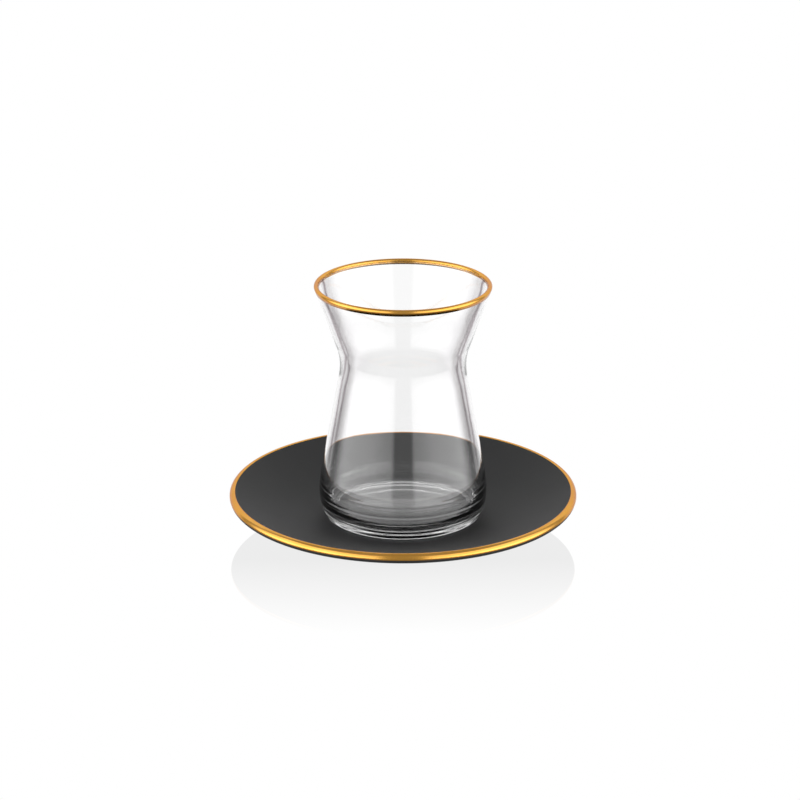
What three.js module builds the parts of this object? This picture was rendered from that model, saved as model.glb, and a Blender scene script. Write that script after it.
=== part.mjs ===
// A waisted tea glass standing in the well of its saucer. Both rims are gilded, and the glass is empty.
// Millimetres, +Z up. The origin is the middle of the saucer's foot, on the surface it stands on.
// Each piece is turned from an outline of points, each a radius and a height.
import * as THREE from "three";

// How finely the round pieces are cut: sides round the axis, and steps along each bend of an outline.
const SIDES = 60;
const BEND_STEPS = 4;

// The saucer is a shallow dish with a flat well, a rounded edge and a foot ring.
const SAUCER_RADIUS = 60;
const SAUCER_HEIGHT = 15.6;
const EDGE_HALF_WIDTH = 1.5;
const EDGE_HALF_HEIGHT = 1.7;
const EDGE_INSIDE_ANGLE = 110;
const EDGE_UNDERSIDE_ANGLE = -78;
const WELL_RADIUS = 28;
const WELL_HEIGHT = 6.9;
const DISH_BEND = new THREE.Vector2(38, 8.2);
const DISH_THICKNESS = 3.2;
const FOOT_OUTER_RADIUS = 27.6;
const FOOT_INNER_RADIUS = 24.4;
const FOOT_DRAFT = 0.8;
const FOOT_CHAMFER = 0.5;

// The outside of the glass, above the plane that it stands on. Two straight cones meet at the waist.
const GLASS_HEIGHT = 82.4;
const LIP_RADIUS = 30.1;
const LIP_HALF_THICKNESS = 0.8;
const WAIST = new THREE.Vector2(20.92, 55.6);
const WAIST_BEND = 5.4;
const BELLY_TOP = new THREE.Vector2(27.7, 18.5);
const BELLY_TOP_PULL = 9;
const HEEL = new THREE.Vector2(27, 0.4);
const HEEL_LEAN = 27.5;
const HEEL_PULL = 5.6;
const STANDING_OUTER_RADIUS = 25.4;
const STANDING_INNER_RADIUS = 19;
const PUNT_DEPTH = 0.8;

// The inside of the glass. The wall is thinnest a little below the lip and in the belly, and thickest at the waist.
// It runs down to a flat floor with a rounded corner.
const LIP_WALL = 1.05;
const LIP_WALL_DEPTH = 5;
const UNDER_BEAD_DEPTH = 1.2;
const UNDER_BEAD_BEND = 1;
const INNER_WAIST = new THREE.Vector2(19.4, 55.3);
const INNER_WAIST_BEND = 6.5;
const INNER_BELLY_TOP = new THREE.Vector2(26.85, 18.5);
const INNER_BELLY_PULL = 16;
const FLOOR_RADIUS = 17;
const FLOOR_HEIGHT = 2;
const FLOOR_PULL = 7.5;

// The gilding is a thin skin over each rim, a hair clear of what it covers.
const GILD_THICKNESS = 0.12;
const GILD_GAP = 0.04;
const LIP_GILD_OUTSIDE = 1.15;
const LIP_GILD_INSIDE = 0.45;
const EDGE_GILD_ANGLE = -8;

// The glass stands in the well with this much air under it.
const STANDING_GAP = 0.1;

const clearGlass = new THREE.MeshStandardMaterial({
  color: 0xeef2f1,
  roughness: 0.03,
  metalness: 0,
  transparent: true,
  opacity: 0.35,
});
const darkGlaze = new THREE.MeshStandardMaterial({ color: 0x3c3c3d, roughness: 0.45, metalness: 0 });
const gold = new THREE.MeshStandardMaterial({ color: 0xd99a2b, roughness: 0.22, metalness: 1 });

const { degToRad } = THREE.MathUtils;

// Turns an outline about the upright axis into a named piece.
function turned(name, outline, material) {
  const mesh = new THREE.Mesh(new THREE.LatheGeometry(outline, SIDES).rotateX(Math.PI / 2), material);
  mesh.name = name;
  return mesh;
}

// The point this far from one point in the direction of another.
function towards(from, to, distance) {
  return from.clone().lerp(to, distance / from.distanceTo(to));
}

// Rounds off the corner between two straight stretches, over a length on each side.
function addBend(path, before, corner, after, length) {
  const start = towards(corner, before, length);
  const end = towards(corner, after, length);
  path.lineTo(start.x, start.y);
  path.quadraticCurveTo(corner.x, corner.y, end.x, end.y);
}

// Adds an oval arc, between two angles in degrees from the outward direction.
function addArc(path, centre, halfWidth, halfHeight, from, to) {
  path.absellipse(centre.x, centre.y, halfWidth, halfHeight, degToRad(from), degToRad(to), false);
}

// The lip is a round bead on the upper cone, and it leans outward with the cone.
const bead = new THREE.Vector2(LIP_RADIUS - LIP_HALF_THICKNESS, GLASS_HEIGHT - LIP_HALF_THICKNESS);
const lean = Math.atan2(LIP_RADIUS - WAIST.x, bead.y - WAIST.y);
const upCone = new THREE.Vector2(Math.sin(lean), Math.cos(lean));
const outOfCone = new THREE.Vector2(Math.cos(lean), -Math.sin(lean));

// A point on the lip's surface, or sunk below it: side is 1 outside and -1 inside.
function lipPoint(side, sunk, down) {
  const offset = side * (LIP_HALF_THICKNESS - sunk);
  return bead.clone().addScaledVector(outOfCone, offset).addScaledVector(upCone, -down);
}

function addLip(path, sunk) {
  const size = LIP_HALF_THICKNESS - sunk;
  const tilt = THREE.MathUtils.radToDeg(lean);
  addArc(path, bead, size, size, -tilt, 180 - tilt);
}

function glassOutline() {
  const sunk = GILD_THICKNESS + GILD_GAP;
  const path = new THREE.Path();
  path.moveTo(0, PUNT_DEPTH);
  path.quadraticCurveTo(STANDING_INNER_RADIUS / 2, PUNT_DEPTH, STANDING_INNER_RADIUS, 0);
  path.lineTo(STANDING_OUTER_RADIUS, 0);
  path.quadraticCurveTo(HEEL.x - HEEL.y, 0, HEEL.x, HEEL.y);

  const heelLean = degToRad(HEEL_LEAN);
  const aboveHeel = new THREE.Vector2(Math.sin(heelLean), Math.cos(heelLean)).multiplyScalar(HEEL_PULL).add(HEEL);
  const belowTop = towards(BELLY_TOP, WAIST, -BELLY_TOP_PULL);
  path.bezierCurveTo(aboveHeel.x, aboveHeel.y, belowTop.x, belowTop.y, BELLY_TOP.x, BELLY_TOP.y);
  addBend(path, BELLY_TOP, WAIST, lipPoint(1, sunk, 0), WAIST_BEND);
  addLip(path, sunk);

  const thinWall = lipPoint(1, 0, LIP_WALL_DEPTH).addScaledVector(outOfCone, -LIP_WALL);
  addBend(path, lipPoint(-1, sunk, 0), lipPoint(-1, sunk, UNDER_BEAD_DEPTH), thinWall, UNDER_BEAD_BEND);
  path.lineTo(thinWall.x, thinWall.y);
  addBend(path, thinWall, INNER_WAIST, INNER_BELLY_TOP, INNER_WAIST_BEND);

  const belowInnerTop = towards(INNER_BELLY_TOP, INNER_WAIST, -INNER_BELLY_PULL);
  path.lineTo(INNER_BELLY_TOP.x, INNER_BELLY_TOP.y);
  path.bezierCurveTo(
    belowInnerTop.x,
    belowInnerTop.y,
    FLOOR_RADIUS + FLOOR_PULL,
    FLOOR_HEIGHT,
    FLOOR_RADIUS,
    FLOOR_HEIGHT,
  );
  path.lineTo(0, FLOOR_HEIGHT);
  return path.getPoints(BEND_STEPS);
}

// The saucer's edge is an oval, round which the glaze and the gilding both follow.
const edge = new THREE.Vector2(SAUCER_RADIUS - EDGE_HALF_WIDTH, SAUCER_HEIGHT - EDGE_HALF_HEIGHT);

function addEdge(path, sunk, fromAngle) {
  addArc(path, edge, EDGE_HALF_WIDTH - sunk, EDGE_HALF_HEIGHT - sunk, fromAngle, EDGE_INSIDE_ANGLE);
}

function saucerOutline() {
  const underWell = WELL_HEIGHT - DISH_THICKNESS;
  const path = new THREE.Path();
  path.moveTo(0, underWell);
  path.lineTo(FOOT_INNER_RADIUS - FOOT_DRAFT, underWell);
  path.lineTo(FOOT_INNER_RADIUS, FOOT_CHAMFER);
  path.lineTo(FOOT_INNER_RADIUS + FOOT_CHAMFER, 0);
  path.lineTo(FOOT_OUTER_RADIUS - FOOT_CHAMFER, 0);
  path.lineTo(FOOT_OUTER_RADIUS, FOOT_CHAMFER);
  path.lineTo(FOOT_OUTER_RADIUS + FOOT_DRAFT, underWell);

  const sunk = GILD_THICKNESS + GILD_GAP;
  const underside = new THREE.Vector2(
    edge.x + (EDGE_HALF_WIDTH - sunk) * Math.cos(degToRad(EDGE_UNDERSIDE_ANGLE)),
    edge.y + (EDGE_HALF_HEIGHT - sunk) * Math.sin(degToRad(EDGE_UNDERSIDE_ANGLE)),
  );
  path.quadraticCurveTo(DISH_BEND.x, DISH_BEND.y - DISH_THICKNESS, underside.x, underside.y);
  addEdge(path, sunk, EDGE_UNDERSIDE_ANGLE);
  path.quadraticCurveTo(DISH_BEND.x, DISH_BEND.y, WELL_RADIUS, WELL_HEIGHT);
  path.lineTo(0, WELL_HEIGHT);
  return path.getPoints(BEND_STEPS);
}

// A skin as a closed outline: out along a surface and back a gilding's thickness below it.
function skinOutline(addSurface) {
  const top = new THREE.Path();
  const bottom = new THREE.Path();
  addSurface(top, 0);
  addSurface(bottom, GILD_THICKNESS);
  const outline = [...top.getPoints(BEND_STEPS), ...bottom.getPoints(BEND_STEPS).reverse()];
  return [...outline, outline[0].clone()];
}

function addGildedLip(path, sunk) {
  const start = lipPoint(1, sunk, LIP_GILD_OUTSIDE);
  const end = lipPoint(-1, sunk, LIP_GILD_INSIDE);
  path.moveTo(start.x, start.y);
  addLip(path, sunk);
  path.lineTo(end.x, end.y);
}

const glass = new THREE.Group();
glass.position.z = WELL_HEIGHT + STANDING_GAP;
glass.add(turned("glass", glassOutline(), clearGlass));
glass.add(turned("glass_gilding", skinOutline(addGildedLip), gold));

const saucer = new THREE.Group();
saucer.add(turned("saucer", saucerOutline(), darkGlaze));
saucer.add(
  turned(
    "saucer_gilding",
    skinOutline((path, sunk) => addEdge(path, sunk, EDGE_GILD_ANGLE)),
    gold,
  ),
);

const object = new THREE.Group();
object.add(saucer, glass);

export default object;
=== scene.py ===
"""A waisted tea glass on its dark saucer, both with gilded rims, on a lit white table.

Metres, +Z up. The origin is the middle of the saucer's foot, on the table.
"""
import math

import bmesh
import bpy
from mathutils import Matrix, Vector


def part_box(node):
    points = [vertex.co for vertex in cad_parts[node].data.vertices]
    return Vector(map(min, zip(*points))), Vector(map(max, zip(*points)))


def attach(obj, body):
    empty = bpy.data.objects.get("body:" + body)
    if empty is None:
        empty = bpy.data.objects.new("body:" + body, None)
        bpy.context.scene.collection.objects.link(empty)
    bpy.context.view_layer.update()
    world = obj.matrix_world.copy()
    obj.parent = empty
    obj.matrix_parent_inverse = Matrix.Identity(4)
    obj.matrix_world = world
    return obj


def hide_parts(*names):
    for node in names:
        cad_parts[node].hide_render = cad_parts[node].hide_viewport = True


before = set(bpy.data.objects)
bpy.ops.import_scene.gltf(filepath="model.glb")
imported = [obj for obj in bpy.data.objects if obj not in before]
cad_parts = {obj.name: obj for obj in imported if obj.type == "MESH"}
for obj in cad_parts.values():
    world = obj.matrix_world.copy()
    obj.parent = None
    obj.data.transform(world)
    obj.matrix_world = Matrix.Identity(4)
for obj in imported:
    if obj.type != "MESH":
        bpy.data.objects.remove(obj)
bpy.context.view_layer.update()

MM = 0.001

# How finely the round pieces are made
SIDES = 256
CURVE_STEPS = 20

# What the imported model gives
SAUCER_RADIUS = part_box("saucer_gilding")[1].x
SAUCER_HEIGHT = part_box("saucer_gilding")[1].z
LIP_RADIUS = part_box("glass_gilding")[1].x
LIP_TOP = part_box("glass_gilding")[1].z
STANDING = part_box("glass")[0].z

# The saucer's outline
EDGE_HALF_WIDTH = 1.5 * MM
EDGE_HALF_HEIGHT = 1.7 * MM
EDGE_INSIDE_ANGLE = 110
EDGE_UNDERSIDE_ANGLE = -78
EDGE_GILD_ANGLE = -8
WELL_RADIUS = 28 * MM
WELL_HEIGHT = 6.9 * MM
DISH_BEND = Vector((38, 8.2)) * MM
DISH_THICKNESS = 3.2 * MM
FOOT_OUTER_RADIUS = 27.6 * MM
FOOT_INNER_RADIUS = 24.4 * MM
FOOT_DRAFT = 0.8 * MM
FOOT_CHAMFER = 0.5 * MM

# The glass's outline, above the plane it stands on
LIP_HALF_THICKNESS = 0.8 * MM
WAIST = Vector((20.92, 55.6)) * MM
WAIST_BEND = 5.4 * MM
BELLY_TOP = Vector((27.7, 18.5)) * MM
BELLY_TOP_PULL = 9 * MM
HEEL = Vector((27, 0.4)) * MM
HEEL_LEAN = math.radians(27.5)
HEEL_PULL = 5.6 * MM
STANDING_OUTER_RADIUS = 25.4 * MM
STANDING_INNER_RADIUS = 19 * MM
PUNT_DEPTH = 0.8 * MM
LIP_WALL = 1.05 * MM
LIP_WALL_DEPTH = 5 * MM
UNDER_BEAD_DEPTH = 1.2 * MM
UNDER_BEAD_BEND = 1.0 * MM
INNER_WAIST = Vector((19.4, 55.3)) * MM
INNER_WAIST_BEND = 6.5 * MM
INNER_BELLY_TOP = Vector((26.85, 18.5)) * MM
INNER_BELLY_PULL = 16 * MM
FLOOR_RADIUS = 17 * MM
FLOOR_HEIGHT = 2.0 * MM
FLOOR_PULL = 7.5 * MM

# The gilding is a skin far thinner than the CAD one, so that it leaves no step
GILD_THICKNESS = 0.03 * MM
GILD_GAP = 0.01 * MM
GILD_DEPTH = GILD_THICKNESS + GILD_GAP
LIP_GILD_OUTSIDE = 1.15 * MM
LIP_GILD_INSIDE = 0.45 * MM

# The gilding: two tones of one gold, the tint of its grazing reflections, and a thin clear coat
GOLD_DEEP = (0.78, 0.38, 0.05)
GOLD_BRIGHT = (0.86, 0.44, 0.08)
GOLD_EDGE = (0.6, 0.34, 0.12, 1)
GOLD_COAT = 0.6
GOLD_COAT_ROUGHNESS = 0.06
GOLD_ROUGHNESS = 0.15
GOLD_ROUGHNESS_SPREAD = 0.08
GOLD_CLOUD_SCALE = 90
GOLD_GRAIN_SCALE = 1400
GOLD_GRAIN_HEIGHT = 0.01 * MM

# The saucer's glaze: two near tones of dark grey, with faint clouds and specks
GLAZE_DARK = (0.023, 0.023, 0.024)
GLAZE_LIGHT = (0.033, 0.033, 0.033)
GLAZE_SPECULAR = 0.22
GLAZE_ROUGHNESS = 0.48
GLAZE_ROUGHNESS_SPREAD = 0.14
GLAZE_CLOUD_SCALE = 45
GLAZE_CLOUD_SHARE = 0.65
GLAZE_SPECK_SCALE = 2500
GLAZE_SPECK_HEIGHT = 0.02 * MM

# Both are mottled between their two tones over this stretch of the noise, and have a fine grain this strong
TONE_FROM = 0.3
TONE_TO = 0.7
GRAIN_STRENGTH = 0.3

# How much detail the noise has in clouds, in grain, and in waves and rings
CLOUD_DETAIL = 3.0
GRAIN_DETAIL = 2.0
WAVE_DETAIL = 1.0

# The glass, and the shade painted into its colour from where it faces the eye to where it turns away: a dark
# band near its edges that stands in for the dark room seen through the glass
GLASS_IOR = 1.52
EDGE_PAINTED_SHADE = [
    (0.25, (1, 1, 1)),
    (0.42, (0.97, 0.96, 0.97)),
    (0.47, (0.88, 0.87, 0.88)),
    (0.52, (0.62, 0.6, 0.61)),
    (0.6, (0.52, 0.5, 0.51)),
    (0.63, (0.14, 0.11, 0.12)),
    (0.66, (0.14, 0.11, 0.12)),
    (0.7, (0.7, 0.68, 0.7)),
    (0.8, (0.97, 0.96, 0.97)),
]

# The painted edge shade begins above the glass's base
PAINTED_SHADE_START = 20 * MM
PAINTED_SHADE_FULL = 32 * MM

# Slow waves in the glass, longer upwards than across
WAVE_SCALE = 60
WAVE_STRETCH = (1, 1, 0.4)

# The glass's relief: the height of its waves, which its rings are so many times as deep as, and its strength
GLASS_RELIEF_HEIGHT = 0.02 * MM
GLASS_RELIEF_STRENGTH = 0.2

# The ring that the glass stands on is a little frosted, ever less between these two heights above its plane
FROST = 0.12
FROST_FULL = 0.2 * MM
FROST_NONE = 1.2 * MM

# Faint rings in the lower glass, left by its forming
RING_SCALE = 420
RING_DEPTH = 6.0
RINGS_START = 22 * MM
RINGS_END = 36 * MM

# Deeper rings round the foot of the glass, clear of its floor
STREAK_SCALE = 500
STREAK_DEPTH = 110
STREAKS_START = 15 * MM
STREAKS_END = 22 * MM
STREAKS_FROM_RADIUS = 20 * MM
STREAKS_FULL_RADIUS = 24 * MM

# The camera, found by fitting the ellipses of the two rims
SENSOR_WIDTH = 36
CAMERA_DISTANCE = 905.5 * MM
CAMERA_ELEVATION = math.radians(19.77)
CAMERA_LENS = 119.1
AIM = Vector((-1.03, 0, 47.7)) * MM

# The studio: two tall panels in front with a gap between them, and a white wall behind.
# Directions are degrees round from the front, the same on both sides, and heights are degrees up.
# A panel is dimmer beside the gap and high up, where it has only a share of its glow.
# The backdrop is what the camera itself sees past the table.
PANEL_FROM = 11
PANEL_FULL = 19
PANEL_EVEN = 58
PANEL_EDGE_SHARE = 0.6
PANEL_FADE = 92
PANEL_TO = 118
PANEL_BRIGHT_HEIGHT = -5
PANEL_DIM_HEIGHT = 25
PANEL_DIM_SHARE = 0.6
PANEL_TOP = 48
PANEL_BOTTOM = -50
PANEL_GLOW = 2.6
WALL_FROM = 126
WALL_TOP = 45
WALL_GLOW = 1.0
ROOM_GLOW = 0.4
SIDE_FADE = 4
TOP_FADE = 10
BACKDROP_GLOW = 1.0

# The table glows white and faintly mirrors what stands on it. Light that it sends into the glass and the
# gold is dimmer from its front half, and its mirror fades out towards the front and towards its edge.
TABLE_RADIUS = 120 * MM
TABLE_GLOW = 1.0
TABLE_DARK_GLOW = 0.3
TABLE_DARK_FROM = -20 * MM
TABLE_LIGHT_FROM = 20 * MM
TABLE_IOR = 1.7
MIRROR_RADIUS = 100 * MM
MIRROR_FULL_AT = -27 * MM
MIRROR_NONE_AT = -87 * MM


class Outline:
    """An outline of (radius, height) points, drawn from one end to the other."""

    def __init__(self):
        self.points = []

    def line(self, *ends):
        self.points += [Vector(end) for end in ends]

    def curve(self, *controls):
        """A Bezier curve from the last point, past the controls, to the last of them."""
        hull = [self.points[-1], *[Vector(control) for control in controls]]
        for i in range(1, CURVE_STEPS + 1):
            level = hull
            while len(level) > 1:
                level = [a.lerp(b, i / CURVE_STEPS) for a, b in zip(level, level[1:])]
            self.points.append(level[0])

    def bend(self, before, corner, after, length):
        """A straight stretch, then the corner rounded off over a length on each side."""
        self.line(towards(corner, before, length))
        self.curve(corner, towards(corner, after, length))

    def arc(self, centre, half_width, half_height, start, end):
        """An oval arc between two angles in degrees from the outward direction."""
        for i in range(CURVE_STEPS + 1):
            angle = math.radians(start + (end - start) * i / CURVE_STEPS)
            offset = Vector((half_width * math.cos(angle), half_height * math.sin(angle)))
            self.points.append(centre + offset)

    def raised(self, height):
        return [Vector((point.x, point.y + height)) for point in self.points]


def towards(start, end, distance):
    """The point this far from start in the direction of end."""
    return start + (end - start).normalized() * distance


def turned(name, points, material, ring_shaped=False):
    """A smooth mesh turned about the upright axis.

    The outline starts and ends on the axis, or is ring-shaped and closes on itself.
    """
    mesh = bmesh.new()
    rings = []
    for radius, height in points:
        around = SIDES if radius > 0 else 1
        angles = [2 * math.pi * i / around for i in range(around)]
        places = [(radius * math.cos(angle), radius * math.sin(angle), height) for angle in angles]
        rings.append([mesh.verts.new(place) for place in places])
    pairs = list(zip(rings, rings[1:]))
    if ring_shaped:
        pairs.append((rings[-1], rings[0]))
    for low, high in pairs:
        for i in range(SIDES):
            j = (i + 1) % SIDES
            corners = [low[i % len(low)], low[j % len(low)], high[j % len(high)], high[i % len(high)]]
            mesh.faces.new(dict.fromkeys(corners))
    bmesh.ops.recalc_face_normals(mesh, faces=mesh.faces)
    data = bpy.data.meshes.new(name)
    mesh.to_mesh(data)
    mesh.free()
    data.shade_smooth()
    data.materials.append(material)
    piece = bpy.data.objects.new(name, data)
    bpy.context.scene.collection.objects.link(piece)
    return piece


# The lip is a round bead on the upper cone, and leans outward with it
bead = Vector((LIP_RADIUS - LIP_HALF_THICKNESS, LIP_TOP - STANDING - LIP_HALF_THICKNESS))
lean = math.atan2(LIP_RADIUS - WAIST.x, bead.y - WAIST.y)
up_cone = Vector((math.sin(lean), math.cos(lean)))
out_of_cone = Vector((math.cos(lean), -math.sin(lean)))


def lip_point(side, sunk, down):
    """A point on the lip's surface, or sunk below it. side is 1 outside and -1 inside."""
    return bead + out_of_cone * side * (LIP_HALF_THICKNESS - sunk) - up_cone * down


def add_lip(outline, sunk):
    size = LIP_HALF_THICKNESS - sunk
    outline.arc(bead, size, size, -math.degrees(lean), 180 - math.degrees(lean))


def glass_outline():
    outline = Outline()
    outline.line((0, PUNT_DEPTH))
    outline.curve((STANDING_INNER_RADIUS / 2, PUNT_DEPTH), (STANDING_INNER_RADIUS, 0))
    outline.line((STANDING_OUTER_RADIUS, 0))
    up_heel = Vector((math.sin(HEEL_LEAN), math.cos(HEEL_LEAN)))
    outline.curve((HEEL.x - HEEL.y, 0), HEEL)
    outline.curve(HEEL + up_heel * HEEL_PULL, towards(BELLY_TOP, WAIST, -BELLY_TOP_PULL), BELLY_TOP)
    outline.bend(BELLY_TOP, WAIST, lip_point(1, GILD_DEPTH, 0), WAIST_BEND)
    add_lip(outline, GILD_DEPTH)
    under_bead = lip_point(-1, GILD_DEPTH, UNDER_BEAD_DEPTH)
    thin_wall = lip_point(1, 0, LIP_WALL_DEPTH) - out_of_cone * LIP_WALL
    outline.bend(lip_point(-1, GILD_DEPTH, 0), under_bead, thin_wall, UNDER_BEAD_BEND)
    outline.line(thin_wall)
    outline.bend(thin_wall, INNER_WAIST, INNER_BELLY_TOP, INNER_WAIST_BEND)
    outline.line(INNER_BELLY_TOP)
    outline.curve(
        towards(INNER_BELLY_TOP, INNER_WAIST, -INNER_BELLY_PULL),
        (FLOOR_RADIUS + FLOOR_PULL, FLOOR_HEIGHT),
        (FLOOR_RADIUS, FLOOR_HEIGHT),
    )
    outline.line((0, FLOOR_HEIGHT))
    return outline.raised(STANDING)


def gilded_lip(sunk):
    """The stretch of the lip that is gilded, or the same sunk below its surface."""
    outline = Outline()
    outline.line(lip_point(1, sunk, LIP_GILD_OUTSIDE))
    add_lip(outline, sunk)
    outline.line(lip_point(-1, sunk, LIP_GILD_INSIDE))
    return outline.raised(STANDING)


# The saucer's edge is an oval, round which the glaze and the gilding both follow
edge = Vector((SAUCER_RADIUS - EDGE_HALF_WIDTH, SAUCER_HEIGHT - EDGE_HALF_HEIGHT))


def add_edge(outline, sunk, start):
    outline.arc(edge, EDGE_HALF_WIDTH - sunk, EDGE_HALF_HEIGHT - sunk, start, EDGE_INSIDE_ANGLE)


def saucer_outline():
    under_well = WELL_HEIGHT - DISH_THICKNESS
    outline = Outline()
    outline.line(
        (0, under_well),
        (FOOT_INNER_RADIUS - FOOT_DRAFT, under_well),
        (FOOT_INNER_RADIUS, FOOT_CHAMFER),
    )
    outline.curve((FOOT_INNER_RADIUS, 0), (FOOT_INNER_RADIUS + FOOT_CHAMFER, 0))
    outline.line((FOOT_OUTER_RADIUS - FOOT_CHAMFER, 0))
    outline.curve((FOOT_OUTER_RADIUS, 0), (FOOT_OUTER_RADIUS, FOOT_CHAMFER))
    outline.line((FOOT_OUTER_RADIUS + FOOT_DRAFT, under_well))

    angle = math.radians(EDGE_UNDERSIDE_ANGLE)
    underside = edge + Vector((
        (EDGE_HALF_WIDTH - GILD_DEPTH) * math.cos(angle),
        (EDGE_HALF_HEIGHT - GILD_DEPTH) * math.sin(angle),
    ))
    outline.curve((DISH_BEND.x, DISH_BEND.y - DISH_THICKNESS), underside)
    # The edge starts with the same point
    outline.points.pop()
    add_edge(outline, GILD_DEPTH, EDGE_UNDERSIDE_ANGLE)
    outline.curve(DISH_BEND, (WELL_RADIUS, WELL_HEIGHT))
    outline.line((0, WELL_HEIGHT))
    return outline.points


def gilded_edge(sunk):
    """The stretch of the saucer's edge that is gilded, or the same sunk below its surface."""
    outline = Outline()
    add_edge(outline, sunk, EDGE_GILD_ANGLE)
    return outline.points


def skin(surface):
    """A thin skin as a closed outline: out along a surface, and back a gilding's thickness below it."""
    return surface(0) + surface(GILD_THICKNESS)[::-1]


class Nodes:
    """Makes and joins the nodes of one material or world."""

    def __init__(self, owner):
        owner.use_nodes = True
        self.tree = owner.node_tree

    def add(self, kind, inputs=None, **settings):
        node = self.tree.nodes.new("ShaderNode" + kind)
        for name, value in settings.items():
            setattr(node, name, value)
        for name, value in (inputs or {}).items():
            self.put(node.inputs[name], value)
        return node

    def put(self, socket, value):
        """Sets a socket to a number or colour, or links it to another node's output."""
        if isinstance(value, bpy.types.NodeSocket):
            self.tree.links.new(value, socket)
        else:
            socket.default_value = value

    def named(self, name):
        return self.tree.nodes[name]

    def maths(self, operation, *values):
        node = self.add("Math", operation=operation)
        for socket, value in zip(node.inputs, values):
            self.put(socket, value)
        return node.outputs[0]

    def ramp(self, value, start, end):
        """0 before start and 1 after end, with a smooth rise between."""
        node = self.add(
            "MapRange",
            {"Value": value, "From Min": min(start, end), "From Max": max(start, end)},
            interpolation_type="SMOOTHSTEP",
        )
        self.put(node.inputs["To Min"], 0.0 if start < end else 1.0)
        self.put(node.inputs["To Max"], 1.0 if start < end else 0.0)
        return node.outputs[0]

    def colours(self, factor, stops):
        """A colour ramp with (place, colour) stops."""
        node = self.add("ValToRGB", {"Fac": factor})
        elements = node.color_ramp.elements
        while len(elements) < len(stops):
            elements.new(1.0)
        for element, (place, colour) in zip(elements, stops):
            element.position = place
            element.color = (*colour, 1)
        return node.outputs[0]

    def noise(self, scale, detail, stretch=(1, 1, 1)):
        place = self.add("TexCoord").outputs["Object"]
        mapping = self.add("Mapping", {"Vector": place, "Scale": stretch})
        node = self.add("TexNoise", {"Vector": mapping.outputs[0], "Scale": scale, "Detail": detail})
        return node.outputs["Fac"]

    def radius_and_height(self):
        x, y, z = self.add("SeparateXYZ", {"Vector": self.add("TexCoord").outputs["Object"]}).outputs
        flat = self.add("CombineXYZ", {"X": x, "Y": y}).outputs[0]
        return self.add("VectorMath", {0: flat}, operation="LENGTH").outputs["Value"], z

    def rings(self, scale, start, end):
        """Noise about zero, the same all the way round, that fades out upwards between two heights."""
        radius, z = self.radius_and_height()
        profile = self.add("CombineXYZ", {"X": radius, "Z": z}).outputs[0]
        noise = self.add("TexNoise", {"Vector": profile, "Scale": scale, "Detail": WAVE_DETAIL})
        about_zero = self.maths("SUBTRACT", noise.outputs["Fac"], 0.5)
        return self.maths("MULTIPLY", about_zero, self.ramp(z, end, start))

    def between(self, factor, low, high):
        """The number that lies this share of the way from low to high."""
        return self.maths("MULTIPLY_ADD", factor, high - low, low)

    def bump(self, height, distance, strength):
        node = self.add("Bump", {"Height": height, "Distance": distance, "Strength": strength})
        return node.outputs["Normal"]


def material_nodes(name, settings):
    """A new material, its nodes and its main shader, with these values on the shader's sockets."""
    material = bpy.data.materials.new(name)
    nodes = Nodes(material)
    shader = nodes.named("Principled BSDF")
    for socket, value in settings.items():
        nodes.put(shader.inputs[socket], value)
    return material, nodes, shader


def clear_glass():
    """Clear glass with painted shade darkening its edges, with faint waves and rings in it and a frosted
    standing ring.
    """
    material, nodes, shader = material_nodes(
        "clear_glass", {"IOR": GLASS_IOR, "Transmission Weight": 1.0}
    )
    # Painted shade: a dark band in the glass's colour near its edges, set by how far each point turns away
    # from the eye
    facing = nodes.add("LayerWeight").outputs["Facing"]
    edge_shade = nodes.colours(facing, EDGE_PAINTED_SHADE)
    radius, z = nodes.radius_and_height()
    upper = nodes.ramp(z, PAINTED_SHADE_START, PAINTED_SHADE_FULL)
    edge_shade = nodes.add("Mix", {0: upper, 6: (1, 1, 1, 1), 7: edge_shade}, data_type="RGBA").outputs[2]
    nodes.put(shader.inputs["Base Color"], edge_shade)

    frost = nodes.ramp(z, STANDING + FROST_NONE, STANDING + FROST_FULL)
    nodes.put(shader.inputs["Roughness"], nodes.maths("MULTIPLY", frost, FROST))

    rings = nodes.rings(RING_SCALE, RINGS_START, RINGS_END)
    streaks = nodes.rings(STREAK_SCALE, STREAKS_START, STREAKS_END)
    off_floor = nodes.ramp(radius, STREAKS_FROM_RADIUS, STREAKS_FULL_RADIUS)
    streaks = nodes.maths("MULTIPLY", streaks, off_floor)
    height = nodes.noise(WAVE_SCALE, WAVE_DETAIL, WAVE_STRETCH)
    height = nodes.maths("MULTIPLY_ADD", rings, RING_DEPTH, height)
    height = nodes.maths("MULTIPLY_ADD", streaks, STREAK_DEPTH, height)
    normal = nodes.bump(height, GLASS_RELIEF_HEIGHT, GLASS_RELIEF_STRENGTH)
    nodes.put(shader.inputs["Normal"], normal)
    return material


def dark_glaze():
    material, nodes, shader = material_nodes("dark_glaze", {"Specular IOR Level": GLAZE_SPECULAR})
    clouds = nodes.noise(GLAZE_CLOUD_SCALE, CLOUD_DETAIL)
    specks = nodes.noise(GLAZE_SPECK_SCALE, GRAIN_DETAIL)
    cloud_part = nodes.maths("MULTIPLY", clouds, GLAZE_CLOUD_SHARE)
    tone = nodes.maths("MULTIPLY_ADD", specks, 1 - GLAZE_CLOUD_SHARE, cloud_part)
    base = nodes.colours(tone, [(TONE_FROM, GLAZE_DARK), (TONE_TO, GLAZE_LIGHT)])
    roughness = nodes.maths("MULTIPLY_ADD", clouds, GLAZE_ROUGHNESS_SPREAD, GLAZE_ROUGHNESS)
    nodes.put(shader.inputs["Base Color"], base)
    nodes.put(shader.inputs["Roughness"], roughness)
    nodes.put(shader.inputs["Normal"], nodes.bump(specks, GLAZE_SPECK_HEIGHT, GRAIN_STRENGTH))
    return material


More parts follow.
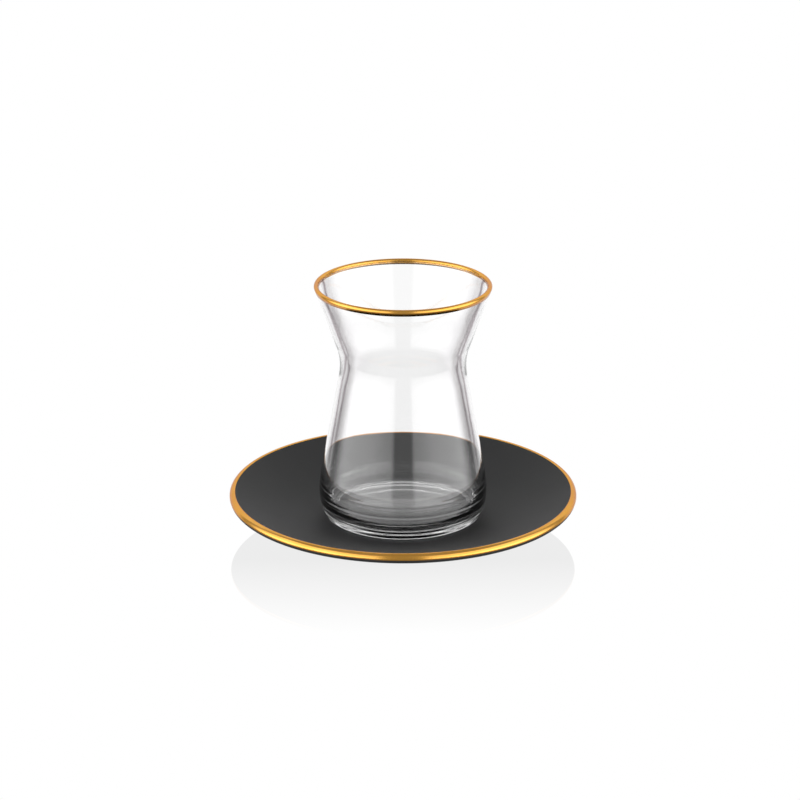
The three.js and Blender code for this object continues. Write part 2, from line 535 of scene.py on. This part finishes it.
def gold():
    material, nodes, shader = material_nodes("gold", {
        "Metallic": 1.0,
        "Specular Tint": GOLD_EDGE,
        "Coat Weight": GOLD_COAT,
        "Coat Roughness": GOLD_COAT_ROUGHNESS,
    })
    clouds = nodes.noise(GOLD_CLOUD_SCALE, CLOUD_DETAIL)
    grain = nodes.noise(GOLD_GRAIN_SCALE, GRAIN_DETAIL)
    base = nodes.colours(clouds, [(TONE_FROM, GOLD_DEEP), (TONE_TO, GOLD_BRIGHT)])
    roughness = nodes.maths("MULTIPLY_ADD", grain, GOLD_ROUGHNESS_SPREAD, GOLD_ROUGHNESS)
    nodes.put(shader.inputs["Base Color"], base)
    nodes.put(shader.inputs["Roughness"], roughness)
    nodes.put(shader.inputs["Normal"], nodes.bump(grain, GOLD_GRAIN_HEIGHT, GRAIN_STRENGTH))
    return material


def table_top():
    """White, with a faint mirror in it."""
    material = bpy.data.materials.new("table_top")
    nodes = Nodes(material)
    place = nodes.add("TexCoord").outputs["Object"]
    depth = nodes.add("SeparateXYZ", {"Vector": place}).outputs["Y"]
    radius = nodes.add("VectorMath", {0: place}, operation="LENGTH").outputs["Value"]

    to_back = nodes.ramp(depth, TABLE_DARK_FROM, TABLE_LIGHT_FROM)
    indirect = nodes.between(to_back, TABLE_DARK_GLOW, TABLE_GLOW)
    seen = nodes.add("LightPath").outputs["Is Camera Ray"]
    strength = nodes.add("Mix", {0: seen, 2: indirect, 3: TABLE_GLOW}).outputs[0]
    glow = nodes.add("Emission", {"Strength": strength})

    fade = nodes.add(
        "MapRange", {"Value": depth, "From Min": MIRROR_NONE_AT, "From Max": MIRROR_FULL_AT}
    ).outputs[0]
    fade = nodes.maths("MULTIPLY", fade, nodes.ramp(radius, TABLE_RADIUS, MIRROR_RADIUS))
    share = nodes.maths("MULTIPLY", nodes.add("Fresnel", {"IOR": TABLE_IOR}).outputs[0], fade)
    mirror = nodes.add("BsdfGlossy", {"Color": (1, 1, 1, 1), "Roughness": 0.0})
    mix = nodes.add("MixShader", {0: share, 1: glow.outputs[0], 2: mirror.outputs[0]})
    nodes.put(nodes.named("Material Output").inputs["Surface"], mix.outputs[0])
    return material


def studio():
    """The room as light by direction. What the camera sees past the table is plain white."""
    world = bpy.data.worlds.new("studio")
    bpy.context.scene.world = world
    nodes = Nodes(world)
    place = nodes.add("TexCoord").outputs["Generated"]
    x, y, z = nodes.add("SeparateXYZ", {"Vector": place}).outputs
    to_front = nodes.maths("MULTIPLY", y, -1.0)
    side = nodes.maths("DEGREES", nodes.maths("ARCTAN2", nodes.maths("ABSOLUTE", x), to_front))
    height = nodes.maths("DEGREES", nodes.maths("ARCSINE", z))

    panel = nodes.ramp(side, PANEL_FROM, PANEL_FULL)
    for share in (
        nodes.between(nodes.ramp(side, PANEL_FROM, PANEL_EVEN), PANEL_EDGE_SHARE, 1),
        nodes.between(nodes.ramp(height, PANEL_DIM_HEIGHT, PANEL_BRIGHT_HEIGHT), PANEL_DIM_SHARE, 1),
        nodes.ramp(side, PANEL_TO, PANEL_FADE),
        nodes.ramp(height, PANEL_TOP + TOP_FADE, PANEL_TOP - TOP_FADE),
        nodes.ramp(height, PANEL_BOTTOM, PANEL_BRIGHT_HEIGHT),
    ):
        panel = nodes.maths("MULTIPLY", panel, share)
    wall = nodes.maths(
        "MULTIPLY",
        nodes.ramp(side, WALL_FROM - SIDE_FADE, WALL_FROM + SIDE_FADE),
        nodes.ramp(height, WALL_TOP + TOP_FADE, WALL_TOP - TOP_FADE),
    )
    glow = nodes.between(panel, ROOM_GLOW, PANEL_GLOW)
    glow = nodes.maths("MULTIPLY_ADD", wall, WALL_GLOW - ROOM_GLOW, glow)
    seen = nodes.add("LightPath").outputs["Is Camera Ray"]
    strength = nodes.add("Mix", {0: seen, 2: glow, 3: BACKDROP_GLOW}).outputs[0]
    nodes.put(nodes.named("Background").inputs["Strength"], strength)
    nodes.named("Background").inputs["Color"].default_value = (1, 1, 1, 1)


def table():
    data = bpy.data.meshes.new("table")
    mesh = bmesh.new()
    bmesh.ops.create_circle(mesh, cap_ends=True, radius=TABLE_RADIUS, segments=SIDES)
    mesh.to_mesh(data)
    mesh.free()
    data.materials.append(table_top())
    top = bpy.data.objects.new("table", data)
    bpy.context.scene.collection.objects.link(top)


def camera():
    data = bpy.data.cameras.new("camera")
    data.sensor_width = SENSOR_WIDTH
    data.lens = CAMERA_LENS
    back = Vector((0, -math.cos(CAMERA_ELEVATION), math.sin(CAMERA_ELEVATION)))
    eye = bpy.data.objects.new("camera", data)
    eye.location = AIM + back * CAMERA_DISTANCE
    eye.rotation_euler = (-back).to_track_quat("-Z", "Y").to_euler()
    bpy.context.scene.collection.objects.link(eye)
    bpy.context.scene.camera = eye


def dress():
    """Each CAD node is stood for by a finely turned piece of its own."""
    gilt = gold()
    pieces = [
        ("glass", turned("clear_body", glass_outline(), clear_glass()), "clear_glass"),
        ("glass_gilding", turned("gilded_lip", skin(gilded_lip), gilt, True), "gold"),
        ("saucer", turned("dark_dish", saucer_outline(), dark_glaze()), "dark_glaze"),
        ("saucer_gilding", turned("gilded_edge", skin(gilded_edge), gilt, True), "gold"),
    ]
    for node, piece, slot in pieces:
        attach(piece, "root")
        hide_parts(node)


camera()
studio()
table()
dress()
bpy.context.scene.view_settings.view_transform = "Standard"
